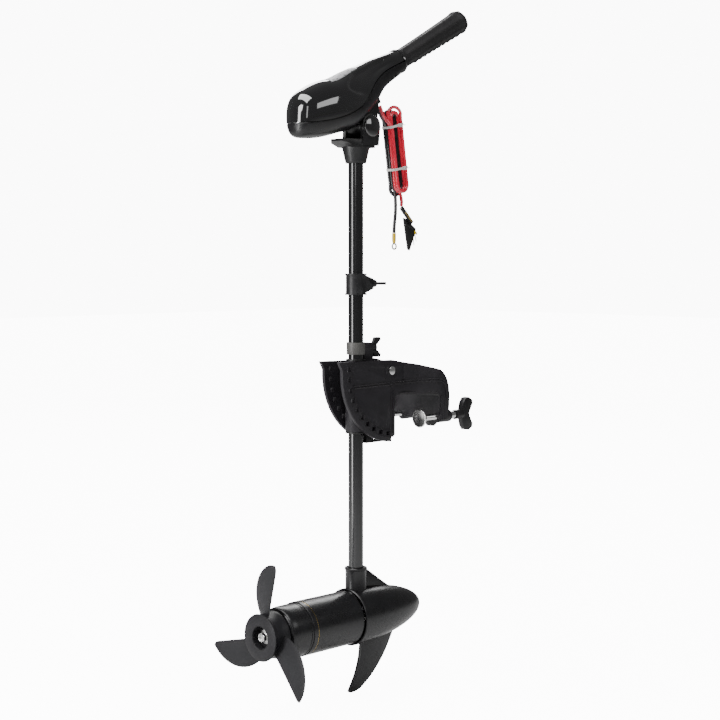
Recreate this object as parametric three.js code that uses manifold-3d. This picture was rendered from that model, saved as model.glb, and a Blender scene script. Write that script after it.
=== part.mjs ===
// Hand-steered electric outboard (trolling motor) with a transom clamp, in millimetres.
// +X points forward into the boat, +Z up along the shaft, +Y to port.
// The origin is the middle of the clamp's flat face, which bears on the aft side of the transom.
import * as THREE from 'three';
import { mergeVertices } from 'three/addons/utils/BufferGeometryUtils.js';
import Module from 'manifold-3d';

const wasm = await Module();
wasm.setup();

// ---------- Driving dimensions ----------
const gap = 0.3;               // clearance left between touching pieces
const tubeRadius = 12.7;       // one-inch shaft tube
const tubeWall = 2;
const shaftX = -74;            // shaft axis behind the clamp face
const tubeBottom = -288;
const tubeTop = 455;

const pivotX = -8;             // tilt pivot of the bracket
const pivotZ = 79;
const arcRadius = 122;         // rim of the notched quadrant
const windowRadius = 108;
const windowCount = 10;
const windowStep = 9.65;       // degrees between notches
const firstWindow = 176.1;
const cheekInner = 18.8;
const cheekOuter = 21.5;
const rimOuter = 25;           // the notched rim is thicker than the panel inside it
const rimWidth = 19;

const clampTop = 36;           // ceiling of the transom slot
const roofTop = 58;
const jawFront = 81;
const jawHalf = 55;
const screwY = 42;
const screwZ = -6;

const sleeveTop = 98;
const sleeveBottom = -22;
const sleeveRadius = 18;
const boreRadius = 14.7;

const motorZ = -338;           // motor axis
const canRadius = 45;
const seamX = -95.3;           // joint between nose housing and can
const canAftX = -212;
const bellAftX = -257;
const hubAftX = -292;
const bladeTip = 124.4;

const headPivotX = -61;
const headPivotZ = 494;
const tillerAngle = THREE.MathUtils.degToRad(28.2);
const neckX = 27.4;
const neckZ = 612.3;
const neckRadius = 19.7;

// ---------- Materials ----------
const paint = (color, roughness, metalness = 0) => (
  new THREE.MeshStandardMaterial({ color, roughness, metalness }));
const blackPlastic = paint(0x2b2a2e, 0.55);
const glossBlack = paint(0x1d1c20, 0.15);
const bracketGrey = paint(0x47444b, 0.6);
const paleGrey = paint(0xb4b2ae, 0.5);
const blackPaint = paint(0x38373b, 0.35, 0.3);
const chrome = paint(0xdcdcda, 0.12, 1);
const steel = paint(0xb9b9bb, 0.3, 1);
const rubber = paint(0x18181a, 0.8);
const copper = paint(0xb56a3b, 0.4, 1);
const magnetGrey = paint(0x3f3f42, 0.7, 0.2);
const redWire = paint(0xc4142b, 0.35);
const blackWire = paint(0x161616, 0.4);
const yellowSleeve = paint(0xe5cf2f, 0.4);
const whiteNylon = paint(0xf0f0ee, 0.5);
const silverLabel = paint(0xc9c9cb, 0.35, 0.4);

// ---------- Solids ----------
function asSolid(geometry) {
  const bare = geometry.clone();
  bare.deleteAttribute('normal');
  bare.deleteAttribute('uv');
  const merged = mergeVertices(bare, 1e-3);
  const corners = merged.attributes.position;
  const triangles = [];
  let volume = 0;
  const [a, b, c] = [new THREE.Vector3(), new THREE.Vector3(), new THREE.Vector3()];
  for (let i = 0; i < merged.index.count; i += 3) {
    const [p, q, r] = [merged.index.getX(i), merged.index.getX(i + 1), merged.index.getX(i + 2)];
    if (p === q || q === r || p === r) continue;
    triangles.push(p, q, r);
    a.fromBufferAttribute(corners, p);
    b.fromBufferAttribute(corners, q);
    c.fromBufferAttribute(corners, r);
    volume += a.dot(b.cross(c));
  }
  if (volume < 0) triangles.reverse();
  const mesh = new wasm.Mesh({
    numProp: 3,
    vertProperties: new Float32Array(corners.array),
    triVerts: new Uint32Array(triangles),
  });
  return new wasm.Manifold(mesh);
}

function asGeometry(solid) {
  const mesh = solid.getMesh();
  const geometry = new THREE.BufferGeometry();
  geometry.setAttribute('position', new THREE.BufferAttribute(mesh.vertProperties, 3));
  geometry.setIndex(new THREE.BufferAttribute(mesh.triVerts, 1));
  return geometry;
}

const union = (...solids) => solids.reduce((whole, next) => whole.add(next));
const cut = (solid, ...tools) => tools.reduce((rest, tool) => rest.subtract(tool), solid);

const group = new THREE.Group();
function piece(name, solid, material) {
  const mesh = new THREE.Mesh(asGeometry(solid), material);
  mesh.name = name;
  group.add(mesh);
}

const box = (x0, x1, y0, y1, z0, z1) => asSolid(
  new THREE.BoxGeometry(x1 - x0, y1 - y0, z1 - z0).translate((x0 + x1) / 2, (y0 + y1) / 2, (z0 + z1) / 2));

// Cylinders along each axis, given by their two end positions.
function rodX(x0, x1, y, z, radius, sides = 16) {
  return asSolid(new THREE.CylinderGeometry(radius, radius, x1 - x0, sides)
    .rotateZ(-Math.PI / 2).translate((x0 + x1) / 2, y, z));
}
function rodY(y0, y1, x, z, radius, sides = 16) {
  return asSolid(new THREE.CylinderGeometry(radius, radius, y1 - y0, sides).translate(x, (y0 + y1) / 2, z));
}
function rodZ(z0, z1, x, y, radius, sides = 20) {
  return asSolid(new THREE.CylinderGeometry(radius, radius, z1 - z0, sides)
    .rotateX(Math.PI / 2).translate(x, y, (z0 + z1) / 2));
}

// A turned solid: profile points are [radius, height]; the turning axis is +Y until it is placed.
function turned(profile, sides = 20) {
  return new THREE.LatheGeometry(profile.map(([r, h]) => new THREE.Vector2(r, h)), sides);
}
const turnedX = (profile, y, z, sides) => (
  asSolid(turned(profile, sides).rotateZ(-Math.PI / 2).translate(0, y, z)));
const turnedY = (profile, x, z, sides) => asSolid(turned(profile, sides).translate(x, 0, z));
const turnedZ = (profile, x, y, sides) => (
  asSolid(turned(profile, sides).rotateX(Math.PI / 2).translate(x, y, 0)));
const ring = (inner, outer, h0, h1) => [[inner, h0], [outer, h0], [outer, h1], [inner, h1], [inner, h0]];

// Flat outlines: drawn in X and Z and given a width in Y, or drawn in X and Y and given a height.
const outline = (points) => new THREE.Shape(points.map(([u, v]) => new THREE.Vector2(u, v)));
function wide(shape, y0, y1) {
  const flat = new THREE.ExtrudeGeometry(shape, { depth: y1 - y0, bevelEnabled: false, curveSegments: 7 });
  return asSolid(flat.rotateX(Math.PI / 2).translate(0, y1, 0));
}
function tall(shape, z0, z1) {
  const flat = new THREE.ExtrudeGeometry(shape, { depth: z1 - z0, bevelEnabled: false, curveSegments: 12 });
  return asSolid(flat.translate(0, 0, z0));
}

// Joins equal rings of points into one closed skin with a flat fan at each end.
function loft(rings) {
  const count = rings[0].length;
  const ends = [rings[0], rings[rings.length - 1]].map((loop) => (
    loop.reduce((sum, p) => sum.add(p), new THREE.Vector3()).divideScalar(count)));
  const points = [...rings.flat(), ...ends];
  const index = [];
  for (let i = 0; i + 1 < rings.length; i += 1) {
    for (let j = 0; j < count; j += 1) {
      const next = (j + 1) % count;
      const [p, q] = [i * count + j, i * count + next];
      index.push(p, q, q + count, p, q + count, p + count);
    }
  }
  const last = (rings.length - 1) * count;
  for (let j = 0; j < count; j += 1) {
    const next = (j + 1) % count;
    index.push(next, j, points.length - 2, last + j, last + next, points.length - 1);
  }
  const geometry = new THREE.BufferGeometry().setFromPoints(points);
  geometry.setIndex(index);
  return asSolid(geometry);
}

// ---------- Bracket: two notched cheeks and the clamp casting ----------
const polar = (degrees, radius) => [
  pivotX + radius * Math.cos(THREE.MathUtils.degToRad(degrees)),
  pivotZ + radius * Math.sin(THREE.MathUtils.degToRad(degrees))];

function windowOutline(degrees) {
  const half = 3.4;
  const [x, z] = polar(degrees, windowRadius);
  return new THREE.Path([[-half, -half], [half, -half], [half, half], [-half, half]].map(
    ([u, v]) => new THREE.Vector2(x + u, z + v)));
}

const cheekFront = -12;

function makeCheek(name, side) {
  const shape = new THREE.Shape();
  shape.moveTo(-137.5, 99);
  shape.lineTo(...polar(177, arcRadius));
  const [arcStart, arcEnd] = [177, 268].map((degrees) => THREE.MathUtils.degToRad(degrees));
  shape.absarc(pivotX, pivotZ, arcRadius, arcStart, arcEnd, false);
  shape.lineTo(cheekFront, roofTop + gap);
  shape.lineTo(45, roofTop + gap);
  shape.lineTo(45, 88);
  shape.lineTo(-8, 97.5);
  for (let k = 0; k < windowCount; k += 1) shape.holes.push(windowOutline(firstWindow + k * windowStep));
  const [y0, y1] = side > 0 ? [cheekInner, cheekOuter] : [-cheekOuter, -cheekInner];
  const [rim0, rim1] = side > 0 ? [cheekInner, rimOuter] : [-rimOuter, -cheekInner];
  const inside = rodY(-30, 30, pivotX, pivotZ, arcRadius - rimWidth, 48);
  const frontOfRim = box(cheekFront, 50, -30, 30, -60, 130);
  const rim = cut(wide(shape, rim0, rim1), inside, frontOfRim);
  piece(name, cut(union(wide(shape, y0, y1), rim), rodY(-30, 30, pivotX, pivotZ, 6.3)), bracketGrey);
}

function makeClamp() {
  const hook = outline([
    [cheekFront + gap, -36], [-4, -36], [0, -32], [0, 30], [2, 34], [6, clampTop], [75, clampTop], [79, 34],
    [jawFront, 30], [jawFront, -10], [98, -10], [103, 10], [104, 30], [102, 48], [97, 62], [89, 72], [80, 78],
    [45 + gap, 88], [45 + gap, roofTop], [cheekFront + gap, roofTop]]);
  const plan = outline([
    [-20, -cheekOuter], [22, -cheekOuter], [45, -32], [70, -jawHalf + 3], [80, -jawHalf], [120, -jawHalf],
    [120, jawHalf], [80, jawHalf], [70, jawHalf - 3], [45, 32], [22, cheekOuter], [-20, cheekOuter]]);
  const tongue = box(-34, cheekFront + 2, -cheekInner + gap, cheekInner - gap, 0, 34);
  const bosses = [-screwY, screwY].map((y) => rodX(85, 114, y, screwZ, 11));
  const screwHoles = [-screwY, screwY].map((y) => rodX(70, 120, y, screwZ, 5.2));
  const channel = box(40, 64, -cheekInner, cheekInner, roofTop, 100);
  const casting = union(wide(hook, -60, 60).intersect(tall(plan, -60, 100)), tongue, ...bosses);
  piece('clamp_saddle', cut(casting, channel, ...screwHoles), bracketGrey);
}

makeCheek('bracket_cheek_port', 1);
makeCheek('bracket_cheek_starboard', -1);
makeClamp();
piece('tilt_pin', turnedY([
  [0, -23.4], [7.4, -23.4], [7.4, -cheekOuter - gap], [6, -cheekOuter - gap], [6, cheekOuter + gap],
  [7.4, cheekOuter + gap], [7.4, 23.4], [0, 23.4]], pivotX, pivotZ, 20), steel);

// ---------- Clamp screws with pads and butterfly handles ----------
const padFace = 38;
const padDepth = 13;
function makeClampScrew(name, y) {
  const socket = [[0, padFace + 7], [5.3, padFace + 7], [5.3, padFace + 20], [0, padFace + 20]];
  const pad = turnedX([
    [0, padFace + 3], [8, padFace + 2.5], [14.5, padFace], [16, padFace + 0.6], [16, padFace + 2.6],
    [8.5, padFace + 7.5], [7.8, padFace + padDepth], [0, padFace + padDepth]], y, screwZ);
  piece(`${name}_pad`, cut(pad, turnedX(socket, y, screwZ)), chrome);
  const screw = union(rodX(padFace + 7.4, 150, y, screwZ, 4.8), rodX(117, 130, y, screwZ, 7));
  piece(`${name}_screw`, screw, chrome);
  const handle = outline([
    [134, -5.5], [147, -8], [150, -20], [156, -28.5], [165, -29.5], [174, -24], [175, -18], [167, -4],
    [166, 0], [167, 4], [175, 18], [174, 24], [165, 29.5], [156, 28.5], [150, 20], [147, 8], [134, 5.5]]);
  const wings = wide(handle, y - 5.5, y + 5.5).translate([0, 0, screwZ]);
  const hub = rodX(131, 150, y, screwZ, 8.5);
  const bore = rodX(120, 150 + gap, y, screwZ, 4.8 + gap);
  piece(`${name}_handle`, cut(union(wings, hub), bore), blackPlastic);
}
makeClampScrew('clamp_port', screwY);
makeClampScrew('clamp_starboard', -screwY);

// ---------- Tilting arm, its bushes, lock pins and lever ----------
const [footX, footZ] = polar(firstWindow + (windowCount - 1) * windowStep, windowRadius);
const wingZ = 119.5;
const leverPinX = -50;
const leverPinZ = -30;

function makeArm() {
  const web = outline([
    [-60, 20], [-57, 20], [pivotX, 67], [pivotX, 91], [-24, 99], [-38, 101.5], [-38, 124], [-42, 128],
    [-60, 128]]);
  const foot = outline([
    [-62, -21.7], [-30, -36], [footX, footZ - 7.8], [footX + 7, footZ - 4], [footX + 7, footZ + 4],
    [footX, footZ + 7.8], [-28, -20], [-62, 4]]);
  const body = union(
    rodZ(sleeveBottom, sleeveTop, shaftX, 0, sleeveRadius), wide(web, -6, 6), wide(foot, -6, 6),
    rodY(-cheekInner + gap, cheekInner - gap, pivotX, pivotZ, 12), rodX(-60, -38, 0, wingZ, 7.5),
    rodY(-cheekInner + 0.4, cheekInner - 0.4, footX, footZ, 7));
  piece('tilt_arm', cut(body,
    rodZ(-40, sleeveTop, shaftX, 0, boreRadius), rodZ(-40, sleeveBottom, shaftX, 0, sleeveRadius + gap),
    rodZ(sleeveTop, 140, shaftX, 0, 13.4),
    rodZ(sleeveTop - 0.1, 101.2, shaftX, 0, 17.4), rodZ(108.7, 140, shaftX, 0, 16.3),
    rodX(-70, -30, 0, wingZ, 3.3, 10), rodY(-30, 30, pivotX, pivotZ, 6.3),
    rodY(-30, 30, footX, footZ, 3.3, 10), rodY(-30, 30, leverPinX, leverPinZ, 2.3, 10)), bracketGrey);
}

function makeLever() {
  const sides = [-8.3, 6.3].map((y) => box(-57, -44, y, y + 2, -43.5, -26));
  const pin = rodY(-8, 8, leverPinX, leverPinZ, 2, 10);
  piece('lock_lever', union(box(-58, -14, -8.3, 8.3, -43.5, -40.5), pin, ...sides), blackPlastic);
}

function wingScrew(name, tip, shoulder, z, halfSpan, turn) {
  const stem = rodX(tip, shoulder + 4, 0, 0, 3, 12);
  const hub = rodX(shoulder, shoulder + 9, 0, 0, 6.5, 16);
  const wing = outline([
    [shoulder + 2, -5.5], [shoulder + 8, -halfSpan], [shoulder + 20, -halfSpan],
    [shoulder + 22, -halfSpan + 4], [shoulder + 11, -3], [shoulder + 11, 3],
    [shoulder + 22, halfSpan - 4], [shoulder + 20, halfSpan],
    [shoulder + 8, halfSpan], [shoulder + 2, 5.5]]);
  const whole = union(stem, hub, wide(wing, -2.4, 2.4)).rotate([turn, 0, 0]).translate([0, 0, z]);
  piece(name, whole, blackPlastic);
}

makeArm();
makeLever();
piece('lock_pin_port', rodY(6.8, cheekInner - 0.5, footX, footZ, 3, 12), steel);
piece('lock_pin_starboard', rodY(-cheekInner + 0.5, -6.8, footX, footZ, 3, 12), steel);
const tensionCollar = turnedZ(ring(12.95, 16, 109, 129.5), shaftX, 0);
piece('tension_collar', cut(tensionCollar, rodX(-70, -50, 0, wingZ, 3.3, 12)), paleGrey);
wingScrew('tension_wing_screw', shaftX + tubeRadius + gap, -37.5, wingZ, 17, 0);

// Swivel bushes turn in the arm's sleeve with the shaft, and the shaft slides through them.
piece('swivel_bush_upper', turnedZ([
  [12.95, 66], [14.45, 66], [14.45, 98.4], [17, 98.4], [17, 101], [12.95, 101],
  [12.95, 66]], shaftX, 0), rubber);
piece('swivel_bush_lower', turnedZ([
  [12.95, -25], [17.8, -25], [17.8, -22.4], [14.45, -22.4], [14.45, 12], [12.95, 12],
  [12.95, -25]], shaftX, 0), rubber);

// ---------- Shaft tube, its leads and the depth collar ----------
const tubeRing = ring(tubeRadius - tubeWall, tubeRadius, tubeBottom, tubeTop);
piece('shaft_tube', turnedZ(tubeRing, shaftX, 0), blackPaint);
const innerWires = [-2.4, 2.4].map((y) => rodZ(tubeBottom, tubeTop, shaftX, y, 2.6, 10));
piece('inner_twin_lead', union(...innerWires), blackWire);

const depthBottom = 210;
const depthTop = 246;
const depthWingZ = 229;
function makeDepthCollar() {
  const boss = outline([
    [shaftX + 14, depthBottom + 2], [shaftX + 36, depthBottom + 10],
    [shaftX + 36, depthTop - 9], [shaftX + 14, depthTop - 2]]);
  const flanged = turnedZ([
    [12.95, depthBottom], [18.7, depthBottom], [18.7, depthBottom + 2.5], [17.2, depthBottom + 2.5],
    [17.2, depthTop - 2.5], [18.7, depthTop - 2.5], [18.7, depthTop], [12.95, depthTop],
    [12.95, depthBottom]], shaftX, 0);
  const collar = union(flanged, wide(boss, -7, 7));
  piece('depth_collar', cut(collar, rodX(shaftX, 0, 0, depthWingZ, 3.3, 12)), blackPlastic);
}
makeDepthCollar();
wingScrew('depth_wing_screw', shaftX + tubeRadius + gap, shaftX + 36.5, depthWingZ, 17, 90);

// ---------- Motor: nose housing with skeg, can, end bell and internals ----------
const noseLength = 174;
const noseRadius = 48.6;
const socketTop = -255;
function nose(shrink, aft, steps) {
  const profile = [[0, aft], [noseRadius - shrink, aft]];
  for (let i = 1; i < steps; i += 1) {
    const angle = (i / steps) * Math.PI / 2;
    profile.push([(noseRadius - shrink) * Math.cos(angle), seamX + (noseLength - shrink) * Math.sin(angle)]);
  }
  profile.push([0, seamX + noseLength - shrink]);
  return turnedX(profile, 0, motorZ, 24);
}

function makeNoseHousing() {
  const gusset = outline([[shaftX, -262], [-47, -263], [-20, -282], [8, -300], [0, -312], [shaftX, -312]]);
  const skeg = new THREE.Shape();
  skeg.moveTo(-64, -380);
  skeg.lineTo(-64, -390);
  skeg.quadraticCurveTo(-70, -432, -93, -467);
  skeg.lineTo(-88, -469.5);
  skeg.lineTo(-67, -466);
  skeg.quadraticCurveTo(-12, -430, 19, -372);
  const collar = turnedZ([
    [0, -300], [18, -300], [18, socketTop - 4], [19.3, socketTop - 4], [19.3, socketTop],
    [0, socketTop]], shaftX, 0, 20);
  const shell = union(nose(0, seamX, 8), collar, wide(gusset, -3.5, 3.5), wide(skeg, -3.5, 3.5));
  const stepAft = rodX(seamX - 1, seamX + 8, 0, motorZ, 43.3, 24);
  const hollow = nose(5, seamX - 1, 5).intersect(rodX(seamX - 1, -12, 0, motorZ, 39, 20));
  const carrier = turnedX([
    [13.3, -64], [40, -64], [40, -58], [18, -56], [16, -46], [13.3, -46], [13.3, -64]], 0, motorZ, 20);
  const housing = union(cut(shell, hollow, stepAft), carrier);
  const tubeSeat = rodZ(tubeBottom - gap, -200, shaftX, 0, 13.1);
  const wireWay = rodZ(-315, -200, shaftX, 0, 8, 12);
  piece('nose_housing', cut(housing, tubeSeat, wireWay), blackPaint);
}
makeNoseHousing();

piece('motor_can', turnedX([
  [42.2, canAftX], [canRadius, canAftX], [canRadius, seamX - 2.5], [43, seamX - 2.5], [43, seamX + 7.6],
  [42.2, seamX + 7.6], [42.2, canAftX]], 0, motorZ, 24), blackPaint);

function makeEndBell() {
  const bell = turnedX([
    [0, bellAftX], [31, bellAftX], [40, bellAftX + 4], [43, bellAftX + 12], [43.6, canAftX - 3.4],
    [43.6, canAftX - gap], [41.8, canAftX - gap], [41.8, canAftX + 9], [0, canAftX + 9]], 0, motorZ, 24);
  const inside = turnedX([
    [0, bellAftX + 5], [30, bellAftX + 5], [37.5, bellAftX + 14], [37.5, canAftX + 12],
    [0, canAftX + 12]], 0, motorZ, 20);
  piece('end_bell', cut(bell, inside, rodX(-270, -200, 0, motorZ, 8.3),
    ...boltSpots.map(([y, z]) => rodX(-270, -200, y, z, 2.3, 10))), blackPaint);
}
const boltSpots = [[34.5, motorZ], [-34.5, motorZ]];
makeEndBell();
boltSpots.forEach(([y, z], i) => piece(`through_bolt_${i + 1}`, union(
  rodX(-252, -96, y, z, 2, 10), rodX(-254.8, -251.3, y, z, 1.9, 10)), steel));

function magnet(name, middle) {
  const [inner, outer, half] = [31, 41.8, THREE.MathUtils.degToRad(62)];
  const shape = new THREE.Shape();
  shape.absarc(0, 0, outer, middle - half, middle + half, false);
  shape.absarc(0, 0, inner, middle + half, middle - half, true);
  const flat = new THREE.ExtrudeGeometry(shape, { depth: 62, bevelEnabled: false, curveSegments: 9 });
  const basis = new THREE.Matrix4().makeBasis(
    new THREE.Vector3(0, 1, 0), new THREE.Vector3(0, 0, 1), new THREE.Vector3(1, 0, 0));
  piece(name, asSolid(flat.applyMatrix4(basis).translate(-184, 0, motorZ)), magnetGrey);
}
magnet('magnet_upper', Math.PI / 2);
magnet('magnet_lower', -Math.PI / 2);

piece('bearing_front', turnedX(ring(6.3, 13, -60, -50), 0, motorZ, 20), steel);
piece('bearing_rear', turnedX(ring(6.3, 12, bellAftX + 5.3, bellAftX + 14), 0, motorZ, 20), steel);

// ---------- What spins: motor shaft, armature and propeller ----------
const shaftAft = -287;
const nutAft = -282;
piece('motor_shaft', cut(rodX(shaftAft, -48, 0, motorZ, 6, 16), rodZ(-400, -300, -274, 0, 2.3, 10)), steel);
piece('armature', turnedX([
  [6.3, -194], [22, -194], [26, -184], [29.5, -184], [29.5, -124], [26, -124], [22, -110], [6.3, -110],
  [6.3, -194]], 0, motorZ, 20), copper);
piece('commutator', turnedX(ring(6.3, 15, -109.7, -88), 0, motorZ, 20), copper);
const brushes = [-27, 15.4].map((z) => box(-104, -95, -4, 4, motorZ + z, motorZ + z + 11.6));
piece('brush_holder', cut(union(turnedX(ring(24, 38.6, -106, -92), 0, motorZ, 20), ...brushes),
  ...boltSpots.map(([y, z]) => rodX(-110, -90, y, z, 2.4, 10))), blackPlastic);

// One blade: a straight radial trailing edge, a curved leading edge and a slight screw pitch.
const bladePitch = 12;         // forward travel per radian from trailing to leading edge
const bladeTrailX = -281;
// How far along from the trailing edge, and how many thicknesses forward of the middle.
const bladeSection = [
  [0, 0.25], [0.35, 0.5], [0.75, 0.45], [1, 0.15], [1, -0.15], [0.75, -0.45], [0.35, -0.5], [0, -0.25]];
function blade(tipDegrees) {
  const sections = 6;
  const rings = [];
  for (let i = 0; i < sections; i += 1) {
    const f = i / (sections - 1);
    const radius = 31 + (bladeTip - 31) * (1 - (1 - f) ** 1.4);
    const spread = THREE.MathUtils.degToRad(4 + 54 * (1 - f) ** 0.95);
    const thick = 5.5 - 3.4 * f;
    const loop = [];
    for (const [along, lift] of bladeSection) {
      const angle = THREE.MathUtils.degToRad(tipDegrees) - along * spread;
      const x = bladeTrailX - 6 * f + along * spread * bladePitch + lift * thick;
      loop.push(new THREE.Vector3(x, radius * Math.cos(angle), motorZ + radius * Math.sin(angle)));
    }
    rings.push(loop);
  }
  return loft(rings);
}

function makePropeller() {
  const hub = turnedX([
    [0, hubAftX], [37.5, hubAftX], [38.6, hubAftX + 1.5], [38.6, hubAftX + 3], [35, hubAftX + 4.5],
    [33.5, hubAftX + 18], [35.3, -263], [35.3, bellAftX - 2], [0, bellAftX - 2]], 0, motorZ, 24);
  const recess = rodX(-300, -279, 0, motorZ, 18.4, 20);
  const cavity = turnedX([[12, -273], [31, -273], [32, bellAftX], [12, bellAftX], [12, -273]], 0, motorZ, 16);
  const pinSlot = box(-276.5, -271.5, -2.6, 2.6, motorZ - 14.3, motorZ + 14.3);
  const blades = [0, 1, 2].map((k) => blade(106.8 + 120 * k));
  const shaftWay = rodX(-300, -250, 0, motorZ, 6.3);
  piece('propeller', cut(union(hub, ...blades), recess, cavity, shaftWay, pinSlot), blackPaint);
}
makePropeller();
piece('drive_pin', rodZ(motorZ - 14, motorZ + 14, -274, 0, 2, 10), steel);
piece('prop_nut', cut(rodX(-289, -281.3, 0, motorZ, 8, 6), rodX(-300, -270, 0, motorZ, 6.3, 16)), chrome);

// ---------- Yoke on top of the shaft ----------
function makeYoke() {
  const cone = turnedZ([[0, 432], [17.4, 432], [18.6, 436], [23.8, 458], [23.8, 461], [0, 461]], shaftX, 0);
  const flange = tall(outline([
    [-120, -13], [-112, -21], [-60, -25], [-48, -20],
    [-48, 20], [-60, 25], [-112, 21], [-120, 13]]), 458, 471);
  const slope = wide(outline([[-125, 440], [-92, 440], [-94, 458], [-121, 467.5], [-125, 467.5]]), -30, 30);
  const ears = [-25, 18].map((y) => union(rodY(y, y + 7, headPivotX, headPivotZ, 21, 20),
    wide(outline([[-82, 462], [-44, 462], [-41, 488], [-80, 492]]), y, y + 7)));
  piece('head_yoke', cut(union(cone, cut(flange, slope), ...ears), rodZ(400, tubeTop + gap, shaftX, 0, 13.1),
    rodZ(400, 480, shaftX, 0, 9, 12), rodY(-30, 30, headPivotX, headPivotZ, 4.3, 12),
    rodY(-17.9, 17.9, headPivotX, headPivotZ, 20.6, 20)), blackPlastic);
}
makeYoke();
piece('head_pivot_bolt', rodY(-24.6, 24.6, headPivotX, headPivotZ, 4, 12), steel);
piece('pivot_cap_port', turnedY([
  [0, 25.3], [18, 25.3], [18, 27], [15.5, 28.6], [0, 29.2]], headPivotX, headPivotZ, 20), blackPlastic);
piece('pivot_cap_starboard', turnedY([
  [0, -29.2], [15.5, -28.6], [18, -27], [18, -25.3], [0, -25.3]], headPivotX, headPivotZ, 20), blackPlastic);

// ---------- Control head: two shells parted along a rising seam ----------
// Each station: middle X and Z, half width, half height and lean of its section in degrees.
const headStations = [
  [-221, 498, 13, 23, 0], [-214, 505, 25, 33, 0], [-195, 510, 35, 38, 0], [-165, 518, 41, 43, 0],
  [-130, 527, 42, 43, 4], [-90, 542, 39, 46, 12], [-53, 566, 31, 38, 19], [-27, 586, 25, 28, 25],
  [13, 605, 20.6, 21.5, 28],
  [neckX, neckZ, neckRadius, neckRadius, 28.2]];

function headSkin(shrink) {
  const sides = 20;
  const rings = headStations.map(([x, z, halfWidth, halfHeight, lean], i) => {
    const tilt = THREE.MathUtils.degToRad(lean);
    const inset = i === 0 ? shrink : 0;
    const loop = [];
    for (let j = 0; j < sides; j += 1) {
      const angle = (j / sides) * 2 * Math.PI;
      const squarish = (value) => Math.sign(value) * Math.abs(value) ** 0.85;
      const across = (halfWidth - shrink) * squarish(Math.cos(angle));
      const up = (halfHeight - shrink) * squarish(Math.sin(angle));
      loop.push(new THREE.Vector3(x + inset - up * Math.sin(tilt), across, z + up * Math.cos(tilt)));
    }
    return loop;
  });
  return loft(rings);
}

const seam = new THREE.SplineCurve([
  [-240, 489], [-222, 490], [-191, 493], [-156, 500], [-122, 511], [-93, 527], [-72, 550], [-54, 570],
  [-24, 590], [17, 608], [60, 627]].map(([u, v]) => new THREE.Vector2(u, v)));

function seamSide(up, offset) {
  const edge = seam.getPoints(14).map((p) => [p.x, p.y + offset]);
  const far = up ? 700 : 400;
  return wide(outline([...edge, [edge[edge.length - 1][0], far], [edge[0][0], far]]), -60, 60);
}

const alongTiller = (s) => [neckX + s * Math.cos(tillerAngle), neckZ + s * Math.sin(tillerAngle)];
function onTiller(profile, sides) {
  const [x, z] = alongTiller(0);
  return asSolid(turned(profile, sides).rotateZ(-Math.PI / 2).rotateY(-tillerAngle).translate(x, 0, z));
}

const glandX = -24;
const glandZ = 540;
function leanRod(radius, s0, s1, sides = 16) {
  const lean = THREE.MathUtils.degToRad(62);
  const rod = new THREE.CylinderGeometry(radius, radius, s1 - s0, sides).translate(0, (s0 + s1) / 2, 0);
  return asSolid(rod.rotateZ(-Math.PI / 2).rotateY(lean).translate(glandX, 0, glandZ));
}

const meterZone = (grow) => box(-152 - grow, -102 + grow, -20 - grow, 20 + grow, 545, 640);
function makeHead() {
  const wall = cut(headSkin(0), headSkin(3), onTiller([[0, -30], [16.3, -30], [16.3, 10], [0, 10]], 20));
  const lug = cut(rodY(-17.6, 17.6, headPivotX, headPivotZ, 20, 20).add(
    wide(outline([[-80, 497], [-42, 497], [-38, 532], [-84, 532]]), -17.6, 17.6)), headSkin(2.5));
  const earRoom = [-25.6, 17.7].map((y) => rodY(y, y + 7.9, headPivotX, headPivotZ, 21.6, 20));
  const lowerShell = union(cut(wall.intersect(seamSide(false, -gap / 2)), ...earRoom), lug);
  const pivotHole = rodY(-30, 30, headPivotX, headPivotZ, 4.3, 12);
  piece('head_lower_shell', cut(lowerShell, pivotHole, leanRod(6.8, -14, 20)), blackPlastic);
  const upperShell = wall.intersect(seamSide(true, gap / 2));
  piece('head_upper_shell', cut(upperShell, meterZone(0)), glossBlack);
  piece('meter_panel', upperShell.intersect(meterZone(-gap)), silverLabel);
}
makeHead();
piece('cable_gland', cut(leanRod(6.5, -10, 4.4), leanRod(4.2, -14, 1)), rubber);
piece('speed_switch', onTiller([
  [0, -158], [15, -158], [15, -128], [6, -128], [6, -121], [0, -121]], 20), blackPlastic);

// ---------- Tiller: telescoping tube and twist grip ----------
piece('tiller_tube', onTiller(ring(9.5, 11, -115, 172), 20), blackPaint);
piece('twist_grip', onTiller([
  [11.4, 2.5], [19.4, 2.5], [19.4, 8], [17.3, 13], [17.6, 80], [19.3, 155], [21, 176], [20.5, 183],
  [14, 183], [14, 179], [11.4, 179], [11.4, 2.5]], 20), rubber);
piece('grip_end_cap', onTiller([
  [0, 179.3], [13.6, 179.3], [13.6, 184], [8, 185.5], [0, 185.8]], 20), blackPlastic);

// ---------- Battery leads: drop from the gland, tied hank, tails and terminals ----------
const wireRadius = 3;
function cordTube(points, radius = wireRadius) {
  const route = new THREE.CatmullRomCurve3(points.map(([x, y, z]) => new THREE.Vector3(x, y, z)));
  const section = new THREE.Shape().absarc(0, 0, radius, 0, 2 * Math.PI, false);
  const steps = Math.ceil(route.getLength() / (5 * radius));
  return asSolid(new THREE.ExtrudeGeometry(
    section, { steps, extrudePath: route, bevelEnabled: false, curveSegments: 5 }));
}

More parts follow.
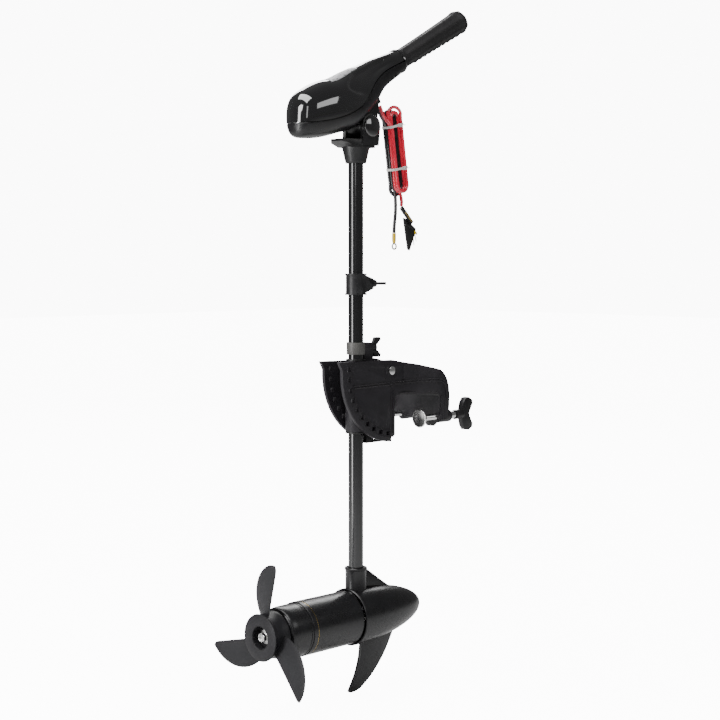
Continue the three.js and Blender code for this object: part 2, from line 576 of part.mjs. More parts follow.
const hankTop = 530;
const hankBottom = 384;
const hankHalf = 15;           // half width of the bundle, and the radius of its round ends
const hankDepth = 20;
const hankX = 22.5;
const hankLean = -8.5;         // degrees about Y: the lower end hangs further forward
const hankMiddle = (hankTop + hankBottom) / 2;
function stadium(half, span) {
  const shape = new THREE.Shape();
  shape.absarc(0, span / 2, half, 0, Math.PI, false);
  shape.absarc(0, -span / 2, half, Math.PI, 2 * Math.PI, false);
  return shape;
}
const onHank = (solid) => solid.rotate([0, hankLean, 0]).translate([hankX, 0, hankMiddle]);
const span = hankTop - hankBottom - 2 * hankHalf;
piece('cable_hank', onHank(wide(stadium(hankHalf, span), -hankDepth / 2, hankDepth / 2)), redWire);
for (const [name, height] of [['tie_upper', 44], ['tie_lower', -30]]) {
  const [x, y, half] = [hankHalf, hankDepth / 2, 2.2];
  const band = box(-x - 1.8, x + 1.8, -y - 1.8, y + 1.8, height - half, height + half);
  const room = box(-x - gap, x + gap, -y - gap, y + gap, height - 5, height + 5);
  piece(name, onHank(cut(band, room)), whiteNylon);
}

const drop = (y) => [[-19.6, y, 532.5], [-16, y, 525.5], [-11.5, y, 518], [-6.5, y, 512], [-3, y, 509.2]];
piece('lead_drop_red', cordTube(drop(-3.3)), redWire);
piece('lead_drop_black', cordTube(drop(3.3)), blackWire);
piece('black_tail', cordTube([
  [27, 0, 384.5], [25.5, 0, 370], [23, 0, 350], [20.5, 0, 331], [19.5, 0, 316]]), blackWire);
piece('red_tail', cordTube([[39, 0, 384.3], [39.5, 0, 377], [38, 0, 370], [37.5, 0, 362]]), redWire);

function makeTerminals() {
  const crimp = turnedZ([[0, 298], [2.2, 298], [3.4, 301], [3.4, 315.7], [0, 315.7]], 19.5, 0, 12);
  const eye = cut(rodY(-0.8, 0.8, 20, 292.5, 6.5, 20), rodY(-2, 2, 20, 292.5, 3.4, 16));
  piece('black_ring_terminal', union(crimp, eye), yellowSleeve);
  const sleeve = wide(stadium(3.6, 34), -2.6, 2.6).rotate([0, -45, 0]);
  piece('fuse_sleeve', cut(sleeve.translate([51, 0, 346.5]), box(30, 45, -5, 5, 361.7, 370)), blackPlastic);
  const boot = outline([[46, 343], [54, 341], [79, 324], [77, 316], [63, 285], [56, 287]]);
  piece('terminal_boot', wide(boot, 2.9, 5.4), rubber);
}
makeTerminals();

export default group;
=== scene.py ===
# Looks of a hand-steered electric outboard: camera, leads, shells, motor pod, bracket trim,
# materials and light.
# Metres, +X forward, +Y to port, +Z up. The origin is the middle of the clamp's flat face.
import math

import bmesh
import bpy
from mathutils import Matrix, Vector


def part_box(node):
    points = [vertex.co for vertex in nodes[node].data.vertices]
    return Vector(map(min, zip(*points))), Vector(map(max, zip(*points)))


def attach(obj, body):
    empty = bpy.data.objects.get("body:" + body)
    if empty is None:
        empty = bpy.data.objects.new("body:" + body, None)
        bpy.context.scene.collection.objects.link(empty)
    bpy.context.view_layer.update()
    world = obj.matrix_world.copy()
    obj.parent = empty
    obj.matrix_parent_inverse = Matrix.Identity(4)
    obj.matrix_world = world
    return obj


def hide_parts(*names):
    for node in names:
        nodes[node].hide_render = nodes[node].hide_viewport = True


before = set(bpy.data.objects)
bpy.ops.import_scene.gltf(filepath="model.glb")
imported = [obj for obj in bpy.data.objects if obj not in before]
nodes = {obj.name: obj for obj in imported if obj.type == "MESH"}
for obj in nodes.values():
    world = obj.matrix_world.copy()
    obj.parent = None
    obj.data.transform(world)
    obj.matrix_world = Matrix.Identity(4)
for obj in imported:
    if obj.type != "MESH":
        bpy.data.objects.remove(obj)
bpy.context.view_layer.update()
MM = 0.001


def middle(node, axis):
    low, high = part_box(node)
    return (low[axis] + high[axis]) / 2


# ---------- Places taken from the frame ----------
SHAFT_X = middle("shaft_tube", 0)
TUBE_RADIUS = (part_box("shaft_tube")[1][0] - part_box("shaft_tube")[0][0]) / 2
MOTOR_Z = middle("motor_can", 2)
CAN_RADIUS = (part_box("motor_can")[1][2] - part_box("motor_can")[0][2]) / 2
CAN_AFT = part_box("motor_can")[0][0]
SEAM_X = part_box("nose_housing")[0][0]
NOSE_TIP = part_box("nose_housing")[1][0]
SOCKET_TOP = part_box("nose_housing")[1][2]
SKEG_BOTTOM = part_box("nose_housing")[0][2]
BELL_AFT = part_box("end_bell")[0][0]
HUB_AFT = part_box("propeller")[0][0]
PIVOT = Vector((middle("tilt_pin", 0), 0, middle("tilt_pin", 2)))
RIM_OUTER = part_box("bracket_cheek_port")[1][1]
PANEL_OUTER = RIM_OUTER - 0.0035
NECK = Vector((0.0274, 0, 0.6123))
TILLER_ANGLE = math.radians(28.2)

# ---------- Camera ----------
CAMERA_AT = Vector((-1.843, -1.779, 0.274))
CAMERA_HEADING = math.radians(-45)
CAMERA_DIP = math.radians(2.59)
CAMERA_SHIFT = -0.05
camera_data = bpy.data.cameras.new("camera")
camera_data.sensor_width = 36
camera_data.lens = 74.02
camera_data.shift_y = CAMERA_SHIFT
camera = bpy.data.objects.new("camera", camera_data)
camera.location = CAMERA_AT
camera.rotation_euler = (math.pi / 2 - CAMERA_DIP, 0, CAMERA_HEADING)
bpy.context.collection.objects.link(camera)
bpy.context.scene.camera = camera


# ---------- Node materials ----------
def principled(name):
    material = bpy.data.materials.new(name)
    material.use_nodes = True
    return material, material.node_tree, material.node_tree.nodes["Principled BSDF"]


def noise(tree, scale, detail=3.0, stretch=(1, 1, 1)):
    place = tree.nodes.new("ShaderNodeTexCoord")
    mapping = tree.nodes.new("ShaderNodeMapping")
    mapping.inputs["Scale"].default_value = stretch
    texture = tree.nodes.new("ShaderNodeTexNoise")
    texture.inputs["Scale"].default_value = scale
    texture.inputs["Detail"].default_value = detail
    tree.links.new(place.outputs["Object"], mapping.inputs["Vector"])
    tree.links.new(mapping.outputs["Vector"], texture.inputs["Vector"])
    return texture.outputs["Fac"]


def between(tree, factor, low, high):
    spread = tree.nodes.new("ShaderNodeMapRange")
    spread.inputs["From Min"].default_value = 0.3
    spread.inputs["From Max"].default_value = 0.7
    spread.inputs["To Min"].default_value = low
    spread.inputs["To Max"].default_value = high
    tree.links.new(factor, spread.inputs["Value"])
    return spread.outputs["Result"]


def tint(tree, factor, dark, light):
    ramp = tree.nodes.new("ShaderNodeValToRGB")
    ramp.color_ramp.elements[0].position = 0.3
    ramp.color_ramp.elements[0].color = (*dark, 1)
    ramp.color_ramp.elements[1].position = 0.7
    ramp.color_ramp.elements[1].color = (*light, 1)
    tree.links.new(factor, ramp.inputs["Fac"])
    return ramp.outputs["Color"]


def bump(tree, shader, height, strength, distance):
    node = tree.nodes.new("ShaderNodeBump")
    node.inputs["Strength"].default_value = strength
    node.inputs["Distance"].default_value = distance
    tree.links.new(height, node.inputs["Height"])
    tree.links.new(node.outputs["Normal"], shader.inputs["Normal"])


def surface(name, dark, light, rough, grain, depth, metallic=0.0, coat=0.0, stretch=(1, 1, 1), shine=0.5):
    """A surface whose colour and gloss vary in broad patches, with a fine grain in its relief."""
    material, tree, shader = principled(name)
    patches = noise(tree, 38, 4, stretch)
    tree.links.new(tint(tree, patches, dark, light), shader.inputs["Base Color"])
    tree.links.new(between(tree, noise(tree, 90, 5, stretch), *rough), shader.inputs["Roughness"])
    shader.inputs["Metallic"].default_value = metallic
    shader.inputs["Specular IOR Level"].default_value = shine
    shader.inputs["Coat Weight"].default_value = coat
    shader.inputs["Coat Roughness"].default_value = 0.05
    shader.inputs["Coat IOR"].default_value = 1.9
    bump(tree, shader, noise(tree, grain, 2, stretch), 0.35, depth)
    return material


BRACKET_GREY = surface(
    "bracket_moulding", (0.0135, 0.0122, 0.0145), (0.0195, 0.0177, 0.021),
    (0.36, 0.46), 1800, 0.0002, shine=0.25)
BLACK_PLASTIC = surface(
    "black_moulding", (0.006, 0.0058, 0.0065), (0.009, 0.0088, 0.0096),
    (0.34, 0.44), 1800, 0.00015, shine=0.4)
LOWER_BLACK = surface(
    "lower_shell_moulding", (0.005, 0.0049, 0.0055), (0.0075, 0.0073, 0.008),
    (0.26, 0.34), 1500, 0.0001, shine=0.4)
GLOSS_BLACK = surface(
    "gloss_shell", (0.003, 0.003, 0.0036), (0.0045, 0.0045, 0.005),
    (0.05, 0.09), 60, 0.00004, coat=0.7)
TUBE_BLACK = surface(
    "tube_gloss", (0.005, 0.005, 0.0055), (0.008, 0.008, 0.0086),
    (0.16, 0.22), 300, 0.00005, coat=0.25, stretch=(1, 1, 0.15))
POD_PAINT = surface(
    "pod_paint", (0.0055, 0.0053, 0.006), (0.008, 0.0077, 0.0088),
    (0.26, 0.33), 1200, 0.00006, shine=0.4)
BLADE_PLASTIC = surface(
    "blade_plastic", (0.0105, 0.010, 0.0115), (0.0145, 0.014, 0.016),
    (0.4, 0.5), 900, 0.00014, shine=0.2)
PALE_GREY = surface(
    "collar_plastic", (0.06, 0.0585, 0.0555), (0.08, 0.078, 0.074),
    (0.4, 0.5), 1600, 0.00015, shine=0.4)
CHROME = surface(
    "polished_plating", (0.72, 0.72, 0.72), (0.82, 0.82, 0.81),
    (0.06, 0.14), 400, 0.00003, metallic=1.0)
PAD_STEEL = surface(
    "brushed_pad", (0.7, 0.7, 0.69), (0.85, 0.85, 0.84),
    (0.2, 0.3), 500, 0.00004, metallic=1.0)
STEEL = surface(
    "bare_steel", (0.5, 0.5, 0.5), (0.66, 0.65, 0.63),
    (0.22, 0.36), 700, 0.00006, metallic=1.0, stretch=(1, 0.2, 1))
BUSH_BLACK = surface(
    "bush_plastic", (0.006, 0.006, 0.006), (0.011, 0.011, 0.011),
    (0.35, 0.5), 900, 0.0001, shine=0.4)
GRIP_RUBBER = surface(
    "grip_rubber", (0.012, 0.0118, 0.0123), (0.018, 0.0176, 0.0183),
    (0.5, 0.62), 2600, 0.0003, shine=0.25)
RED_VINYL = surface(
    "red_vinyl", (0.72, 0.012, 0.04), (0.86, 0.02, 0.06),
    (0.22, 0.34), 500, 0.00008, coat=0.4)
BLACK_VINYL = surface(
    "black_vinyl", (0.006, 0.006, 0.006), (0.011, 0.011, 0.011),
    (0.25, 0.38), 500, 0.00008, coat=0.2)
YELLOW_VINYL = surface(
    "yellow_vinyl", (0.62, 0.4, 0.015), (0.72, 0.5, 0.035),
    (0.25, 0.4), 500, 0.00008)
WHITE_NYLON = surface(
    "white_nylon", (0.6, 0.59, 0.57), (0.7, 0.69, 0.67),
    (0.35, 0.5), 900, 0.00012)
BRASS = surface(
    "brass", (0.45, 0.32, 0.11), (0.6, 0.46, 0.2),
    (0.2, 0.35), 600, 0.00005, metallic=1.0)
COPPER = surface(
    "winding_copper", (0.4, 0.14, 0.05), (0.6, 0.25, 0.1),
    (0.3, 0.45), 300, 0.0003, metallic=0.8)
FERRITE = surface(
    "ferrite", (0.02, 0.02, 0.021), (0.033, 0.033, 0.035),
    (0.6, 0.75), 900, 0.0002)


def make_label():
    """A silver panel with a row of dark round windows, as on a charge meter."""
    material, tree, shader = principled("meter_label")
    place = tree.nodes.new("ShaderNodeTexCoord")
    dots = tree.nodes.new("ShaderNodeTexVoronoi")
    dots.inputs["Scale"].default_value = 120
    dots.inputs["Randomness"].default_value = 0
    tree.links.new(place.outputs["Object"], dots.inputs["Vector"])
    edge = tree.nodes.new("ShaderNodeMapRange")
    edge.inputs["From Min"].default_value = 0.22
    edge.inputs["From Max"].default_value = 0.26
    tree.links.new(dots.outputs["Distance"], edge.inputs["Value"])
    colour = tint(tree, edge.outputs["Result"], (0.03, 0.03, 0.034), (0.3, 0.3, 0.31))
    tree.links.new(colour, shader.inputs["Base Color"])
    tree.links.new(between(tree, noise(tree, 300), 0.4, 0.5), shader.inputs["Roughness"])
    shader.inputs["Metallic"].default_value = 0.2
    return material


LABEL = make_label()


# ---------- Shaping ----------
def smooth_group():
    """Modifier that shades smooth across gentle angles and keeps real corners crisp."""
    group = bpy.data.node_groups.new("shade_gentle_angles", "GeometryNodeTree")
    group.interface.new_socket("Geometry", in_out="INPUT", socket_type="NodeSocketGeometry")
    group.interface.new_socket("Geometry", in_out="OUTPUT", socket_type="NodeSocketGeometry")
    entry = group.nodes.new("NodeGroupInput")
    leave = group.nodes.new("NodeGroupOutput")
    angle = group.nodes.new("GeometryNodeInputMeshEdgeAngle")
    gentle = group.nodes.new("FunctionNodeCompare")
    gentle.data_type = "FLOAT"
    gentle.operation = "LESS_THAN"
    gentle.inputs[1].default_value = math.radians(34)
    faces = group.nodes.new("GeometryNodeSetShadeSmooth")
    faces.domain = "FACE"
    edges = group.nodes.new("GeometryNodeSetShadeSmooth")
    edges.domain = "EDGE"
    link = group.links.new
    link(entry.outputs[0], faces.inputs["Geometry"])
    link(angle.outputs["Unsigned Angle"], gentle.inputs[0])
    link(faces.outputs["Geometry"], edges.inputs["Geometry"])
    link(gentle.outputs["Result"], edges.inputs["Shade Smooth"])
    link(edges.outputs["Geometry"], leave.inputs[0])
    return group


SMOOTH = smooth_group()


def soften(piece, bevel=0.0):
    """Welds split corners, rounds sharp edges by bevel metres and shades the piece."""
    weld = piece.modifiers.new("weld", "WELD")
    weld.merge_threshold = 0.00002
    if bevel:
        round_edges = piece.modifiers.new("round_edges", "BEVEL")
        round_edges.width = bevel
        round_edges.segments = 2
        round_edges.limit_method = "ANGLE"
        round_edges.angle_limit = math.radians(38)
    shade = piece.modifiers.new("shade", "NODES")
    shade.node_group = SMOOTH


def dress(name, material, bevel=0.0):
    node = nodes[name]
    node.data.materials.clear()
    node.data.materials.append(material)
    soften(node, bevel)


def add_piece(name, points, faces, material, body, slot, bevel=0.0):
    mesh = bpy.data.meshes.new(name)
    mesh.from_pydata([tuple(p) for p in points], [], faces)
    mesh.materials.append(material)
    form = bmesh.new()
    form.from_mesh(mesh)
    bmesh.ops.remove_doubles(form, verts=form.verts, dist=0.00001)
    bmesh.ops.recalc_face_normals(form, faces=form.faces)
    form.to_mesh(mesh)
    form.free()
    piece = bpy.data.objects.new(name, mesh)
    bpy.context.collection.objects.link(piece)
    soften(piece, bevel)
    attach(piece, body)
    return piece


def skin(rings, closed=True, caps=True):
    """Faces joining equal rings of points; closed rings wrap round, caps close both ends."""
    count = len(rings[0])
    faces = []
    for i in range(len(rings) - 1):
        for j in range(count if closed else count - 1):
            a = i * count + j
            b = i * count + (j + 1) % count
            faces.append((a, b, b + count, a + count))
    if caps:
        faces.append(tuple(range(count)))
        faces.append(tuple((len(rings) - 1) * count + j for j in range(count)))
    return faces


def lofted(rings, closed=True, caps=True):
    """Points and faces of the skin over equal rings of points."""
    return [p for ring in rings for p in ring], skin(rings, closed, caps)


def turned(profile, frame_of, sides=96):
    """A profile of (radius, height) turned about an axis; frame_of places (radius, height, angle)."""
    rings = [[frame_of(r, h, 2 * math.pi * j / sides) for j in range(sides)] for r, h in profile]
    return lofted(rings, caps=False)


def on_motor(r, h, a):
    return Vector((h, r * math.cos(a), MOTOR_Z + r * math.sin(a)))


def on_shaft(r, h, a):
    return Vector((SHAFT_X + r * math.cos(a), r * math.sin(a), h))


TILLER_WAY = Vector((math.cos(TILLER_ANGLE), 0, math.sin(TILLER_ANGLE)))
TILLER_UP = Vector((-math.sin(TILLER_ANGLE), 0, math.cos(TILLER_ANGLE)))


def on_tiller(r, h, a):
    return NECK + TILLER_WAY * h + TILLER_UP * (r * math.sin(a)) + Vector((0, r * math.cos(a), 0))


def join(*parts):
    points, faces = [], []
    for more_points, more_faces in parts:
        faces += [tuple(i + len(points) for i in face) for face in more_faces]
        points += list(more_points)
    return points, faces


def plate(outline, y0, y1):
    """A flat outline of (x, z) given a width from y0 to y1."""
    near = [Vector((x, y0, z)) for x, z in outline]
    far = [Vector((x, y1, z)) for x, z in outline]
    return lofted([near, far])


def spline(stops, count):
    """Points on a smooth curve through stops, count for each gap, as tuples of floats."""
    result = []
    for i in range(len(stops) - 1):
        before = stops[max(i - 1, 0)]
        here, there = stops[i], stops[i + 1]
        after = stops[min(i + 2, len(stops) - 1)]
        for step in range(count):
            t = step / count
            result.append(tuple(
                0.5 * (2 * b + (c - a) * t + (2 * a - 5 * b + 4 * c - d) * t**2
                       + (3 * b - a - 3 * c + d) * t**3)
                for a, b, c, d in zip(before, here, there, after)))
    return result + [tuple(stops[-1])]


# ---------- Battery leads: declared cords in a tied hank ----------
WIRE = 0.006
HANK_AT = Vector((0.0225, 0, 0.457))
HANK_LEAN = math.radians(-8.5)
RUN_HALF = 0.058                # half of each straight run
FOLD = 0.012                    # radius of the folds
LAYER = WIRE                    # the wires lie a diameter apart


def on_hank(u, y, v):
    c, s = math.cos(HANK_LEAN), math.sin(HANK_LEAN)
    return HANK_AT + Vector((u * c + v * s, y, -u * s + v * c))


def fold(top, y0, y1, left=-FOLD, right=FOLD, swell=0.0):
    """Half turn over the top from right to left, or under the bottom from left to right."""
    way = 1 if top else -1
    half = (right - left) / 2
    stops = []
    steps = 8
    for k in range(steps + 1):
        angle = math.pi * (k / steps)
        reach = half + swell * math.sin(angle)
        side = math.cos(angle) if top else -math.cos(angle)
        y = y0 + (y1 - y0) * (0.5 - 0.5 * math.cos(angle))
        height = way * (RUN_HALF + reach * math.sin(angle))
        stops.append(on_hank((left + right) / 2 + reach * side, y, height))
    return stops


def run(u, y, down):
    heights = [RUN_HALF * f for f in (0.7, 0.35, 0.0, -0.35, -0.7)]
    return [on_hank(u, y, v) for v in (heights if down else heights[::-1])]


def lead(name, start, first, second, swell_top, swell_bottom, tail, material, covers):
    """One battery lead: from the gland down the left of the hank, two turns, a last run and its tail."""
    stops = list(start)
    stops += run(-FOLD, first, True)
    stops += fold(False, first, first)
    stops += run(FOLD, first, False)
    stops += fold(True, first, second, swell=swell_top)
    stops += run(-FOLD, second, True)
    stops += fold(False, second, second, swell=swell_bottom)
    stops += run(FOLD, second, False)
    stops += fold(True, second, second, left=-FOLD + LAYER)
    stops += run(-FOLD + LAYER, second, True)
    stops += tail
    path = [Vector(p) for p in spline([tuple(p) for p in stops], 3)]
    curve = bpy.data.curves.new(name, "CURVE")
    curve.dimensions = "3D"
    curve.bevel_depth = WIRE / 2
    curve.bevel_resolution = 5
    curve.use_fill_caps = True
    line = curve.splines.new("POLY")
    line.points.add(len(path) - 1)
    for point, place in zip(line.points, path):
        point.co = (*place, 1)
    line.use_smooth = True
    curve.materials.append(material)
    piece = bpy.data.objects.new(name, curve)
    bpy.context.collection.objects.link(piece)
    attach(piece, "lead")
    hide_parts(*covers)
    length = sum((b - a).length for a, b in zip(path, path[1:]))
    print("length of", name, round(length, 3))
    return piece, path, length


def drop(y, first):
    """Out of the gland and down to the top of the hank."""
    way = [Vector(p) * MM for p in ((-19.6, y, 532.5), (-16, y, 525.5), (-11.5, y, 518), (-6.5, y, 512))]
    return way + [Vector((-0.0008, y * MM * 0.5 + first * 0.5, 0.5045))]


red_first, red_second = -0.009, -0.003
black_first, black_second = 0.003, 0.009
red_tail = [on_hank(-0.004, -0.002, -0.058)] + [
    Vector(p) * MM for p in ((35, 2, 388), (37.5, 1, 380), (38.5, 0, 370), (37.5, 0, 362.5))]
black_tail = [on_hank(-0.007, 0.008, -0.056)] + [
    Vector(p) * MM for p in ((26.5, 5, 387), (25.3, 2, 370), (23, 0, 350), (20.5, 0, 331), (19.5, 0, 316))]
red_lead, red_path, red_length = lead(
    "red_lead", drop(-3.3, red_first), red_first, red_second, LAYER, 0.0, red_tail, RED_VINYL,
    ["lead_drop_red", "cable_hank", "red_tail"])
black_lead, black_path, black_length = lead(
    "black_lead", drop(3.3, black_first), black_first, black_second, 0.0, LAYER, black_tail, BLACK_VINYL,
    ["lead_drop_black", "black_tail"])


def block(half_x, half_z, y0, y1):
    return plate([(-half_x, -half_z), (half_x, -half_z), (half_x, half_z), (-half_x, half_z)], y0, y1)


def tie(name, height, turn):
    """A nylon strap round the hank with its lock head and a short cut end."""
    half_wide = FOLD + WIRE / 2 + 0.0004
    half_deep = 0.0124
    corner = 0.005
    thick = 0.0011
    half_band = 0.0021
    head_at = 0.004
    loop = []
    for qx, qy, a0 in ((1, 1, 0), (-1, 1, 90), (-1, -1, 180), (1, -1, 270)):
        for k in range(6):
            a = math.radians(a0 + 18 * k)
            loop.append((
                qx * (half_wide - corner) + corner * math.cos(a),
                qy * (half_deep - corner) + corner * math.sin(a)))

    def section(grow, v):
        wide, deep = 1 + grow / half_wide, 1 + grow / half_deep
        return [on_hank(u * wide, y * deep, height + v + u * turn) for u, y in loop]

    def beside(form):
        points, faces = form
        return [on_hank(p.x + head_at, p.y, height + p.z) for p in points], faces

    around = ((0, -half_band), (thick, -half_band), (thick, half_band), (0, half_band), (0, -half_band))
    band = lofted([section(grow, v) for grow, v in around], caps=False)
    head = beside(block(0.0028, 0.0033, -half_deep - 0.0042, -half_deep))
    end = beside(block(0.0018, 0.0005, -half_deep - 0.013, -half_deep - 0.003))
    piece = add_piece(name + "_strap", *join(band, head, end), WHITE_NYLON, "lead", "tie_nylon", 0.0004)
    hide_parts(name)
    return piece


tie_upper = tie("tie_upper", 0.044, 0.12)
tie_lower = tie("tie_lower", -0.030, 0.05)


def make_ring_terminal():
    """The black lead's end: a yellow crimp sleeve and a plated ring."""
    sleeve_x = 0.0195
    ring_x, ring_z = 0.02, 0.2925
    inner, outer, half = 0.0034, 0.0062, 0.0007
    sides = 32
    turns = [2 * math.pi * j / sides for j in range(sides)]
    profile = [(0.0001, 0.298), (0.0022, 0.298), (0.0030, 0.3), (0.0035, 0.303), (0.0036, 0.313),
               (0.0033, 0.3157), (0.0001, 0.3157)]
    rings = [[Vector((sleeve_x + r * math.cos(a), r * math.sin(a), z)) for a in turns] for r, z in profile]
    sleeve = add_piece("terminal_sleeve", *lofted(rings), YELLOW_VINYL, "lead", "terminal_sleeve")
    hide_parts("black_ring_terminal")
    edges = ((inner, -half), (outer, -half), (outer, half), (inner, half), (inner, -half))
    loops = []
    for r, y in edges:
        loops.append([Vector((ring_x + r * math.cos(a), y, ring_z + r * math.sin(a))) for a in turns])
    eye = lofted(loops, caps=False)
    neck = plate([(0.0175, 0.2975), (0.0215, 0.2975), (0.021, 0.3005), (0.018, 0.3005)], -0.0008, 0.0008)
    ring = add_piece("terminal_ring", *join(eye, neck), CHROME, "lead", "terminal_sleeve", 0.0002)
    return [sleeve, ring]


def make_fuse_end():
    """The red lead's end: a flat strip with a blade, a folded boot, two bare prongs and a tag."""
    lean = math.radians(45)
    along = Vector((math.sin(lean), 0, -math.cos(lean)))
    across = Vector((math.cos(lean), 0, math.sin(lean)))
    start = Vector((0.0378, 0, 0.3605))
    parts = []
    for name, s0, s1, half, deep, material, slot in (
            ("fuse_strip", 0.0, 0.038, 0.0034, 0.0024, BUSH_BLACK, "bush_plastic"),
            ("fuse_blade", 0.012, 0.034, 0.0016, 0.0032, BRASS, "terminal_sleeve")):
        outline = ((s0, -half), (s0, half), (s1, half), (s1, -half))
        corners = [start + along * s + across * h for s, h in outline]
        near = [p + Vector((0, -deep, 0)) for p in corners]
        far = [p + Vector((0, deep, 0)) for p in corners]
        parts.append(add_piece(name, *lofted([near, far]), material, "lead", slot, 0.0006))
    boot_outline = [(0.046, 0.343), (0.054, 0.341), (0.079, 0.324), (0.0775, 0.3165), (0.063, 0.285),
                    (0.0575, 0.2868)]
    boot = add_piece(
        "boot_plate", *plate(boot_outline, 0.0024, 0.0054), BUSH_BLACK, "lead", "bush_plastic", 0.0012)
    fold_outline = [(0.05, 0.3315), (0.0735, 0.3245), (0.074, 0.3225), (0.0505, 0.329)]
    crease = add_piece(
        "boot_fold", *plate(fold_outline, 0.0012, 0.003), BLACK_VINYL, "lead", "bush_plastic", 0.0006)
    prong_wide, prong_long = 0.0016, 0.013
    prong_parts = []
    for x, z, dx in ((0.0725, 0.3145, 0.004), (0.069, 0.308, 0.0015)):
        foot = z - prong_long
        prong = [(x, z), (x + prong_wide, z), (x + prong_wide + dx, foot), (x + dx, foot)]
        prong_parts.append(plate(prong, 0.0006, 0.0014))
    prongs = add_piece("boot_prongs", *join(*prong_parts), BRASS, "lead", "terminal_sleeve", 0.0002)
    tag_outline = [(0.0745, 0.3215), (0.0805, 0.3165), (0.0795, 0.3125), (0.0735, 0.3155)]
    cover = add_piece(
        "boot_tag", *plate(tag_outline, 0.001, 0.0026), YELLOW_VINYL, "lead", "terminal_sleeve", 0.0005)
    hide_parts("fuse_sleeve")
    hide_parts("terminal_boot")
    return parts + [boot, crease, prongs, cover]


black_end = make_ring_terminal()
red_end = make_fuse_end()


# ---------- Control head: gloss dome and neck over a satin lower shell ----------
# Stations: middle X and Z, half width, half height, lean in degrees.
HEAD_STATIONS = [
    (-0.2175, 0.4965, 0.006, 0.012, 0), (-0.215, 0.499, 0.016, 0.022, 0),
    (-0.208, 0.5045, 0.0265, 0.0325, 0), (-0.192, 0.510, 0.035, 0.038, 0),
    (-0.165, 0.518, 0.041, 0.043, 0), (-0.130, 0.527, 0.042, 0.043, 4),
    (-0.090, 0.5415, 0.0385, 0.0445, 12), (-0.053, 0.5645, 0.0305, 0.036, 19),
    (-0.027, 0.585, 0.0245, 0.027, 25), (0.013, 0.605, 0.0205, 0.0213, 28),
    (0.0274, 0.6123, 0.0197, 0.0197, 28.2)]
SEAM_STOPS = [
    (-0.240, 0.489), (-0.222, 0.490), (-0.191, 0.493), (-0.156, 0.500), (-0.122, 0.511), (-0.093, 0.527),
    (-0.072, 0.550), (-0.054, 0.570), (-0.024, 0.590), (0.017, 0.608), (0.060, 0.627)]
seam_line = spline(SEAM_STOPS, 8)
SEAM_GAP = 0.0006               # half the dark groove between the two shells
SCOOP_AFT = -0.127              # where the neck's scooped flanks begin
SCOOP_DEEP = 0.0062
BELLY = 1.12                    # how much fuller the head's underside is than its top


def seam_height(x):
    for (x0, z0), (x1, z1) in zip(seam_line, seam_line[1:]):
        if x0 <= x <= x1:
            return z0 + (z1 - z0) * (x - x0) / (x1 - x0)
    return seam_line[-1][1]


def head_point(station, angle, inset=0.0):
    x, z, half_width, half_height, lean = station
    tilt = math.radians(lean)

    def squarish(value):
        return math.copysign(abs(value) ** 0.85, value)

    across = (half_width - inset) * squarish(math.cos(angle))
    up = (half_height - inset) * squarish(math.sin(angle))
    if up < 0:
        up *= 1 + (BELLY - 1) * ease((-0.075 - x) / 0.04)
    return Vector((x - up * math.sin(tilt), across, z + up * math.cos(tilt)))


def seam_angle(station):
    low, high = -math.pi / 2, math.pi / 2
    for _ in range(30):
        angle = (low + high) / 2
        point = head_point(station, angle)
        if point.z < seam_height(point.x):
            low = angle
        else:
            high = angle
    return (low + high) / 2


def ease(value):
    value = min(max(value, 0.0), 1.0)
    return value * value * (3 - 2 * value)


def hollow(x, elevation, edge):
    """How deep the neck's flank is scooped at x, at an elevation in radians above the section's side."""
    crest = 0.98                # elevation of the crease along the neck's shoulder
    front = SCOOP_AFT + 0.030 * ((elevation - 0.55) / 0.5) ** 2
    along = ease((x - front) / 0.011) * (1 - ease((x + 0.030) / 0.045))
    below = 1 - ease((elevation - crest) / 0.16)
    return SCOOP_DEEP * along * below * ease((elevation - edge) / 0.4)


def shell(upper):
    """One half of the head between its seam lines, its edge turned in to leave a fine dark groove."""
    lip = 0.0022
    steps = 60
    rings = []
    for station in spline(HEAD_STATIONS, 12):
        edge = seam_angle(station)
        crack = SEAM_GAP / max(station[3], 0.01)
        a0, a1 = math.pi - edge + crack, 2 * math.pi + edge - crack
        if upper:
            a0, a1 = edge + crack, math.pi - edge - crack
        loop = [head_point(station, a0, lip)]
        for k in range(steps + 1):
            angle = a0 + (a1 - a0) * k / steps
            inset = hollow(station[0], min(angle, math.pi - angle), edge) if upper else 0.0
            loop.append(head_point(station, angle, inset))
        loop.append(head_point(station, a1, lip))
        rings.append(loop)
    points, faces = lofted(rings, closed=False, caps=False)
    return points, faces + [tuple(range(len(rings[0])))]


dome = add_piece("head_dome", *shell(True), GLOSS_BLACK, "head", "gloss_shell")
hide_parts("head_upper_shell")


def lower_details():
    """The lower shell with the pivot's lug and two foot plates."""
    parts = [shell(False)]
    lug = [(-0.081, 0.494), (-0.079, 0.484), (-0.070, 0.4755), (-0.061, 0.4742), (-0.052, 0.4755),
           (-0.043, 0.484), (-0.041, 0.494), (-0.036, 0.5335), (-0.086, 0.5325)]
    parts.append(plate(lug, -0.0176, 0.0176))
    for side in (-1, 1):
        y0, y1 = sorted((side * 0.0045, side * 0.0165))
        parts.append(plate([(-0.165, 0.4765), (-0.105, 0.4845), (-0.105, 0.495), (-0.165, 0.49)], y0, y1))
    return join(*parts)


base = add_piece("head_base", *lower_details(), LOWER_BLACK, "head", "black_plastic", 0.0008)
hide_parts("head_lower_shell")


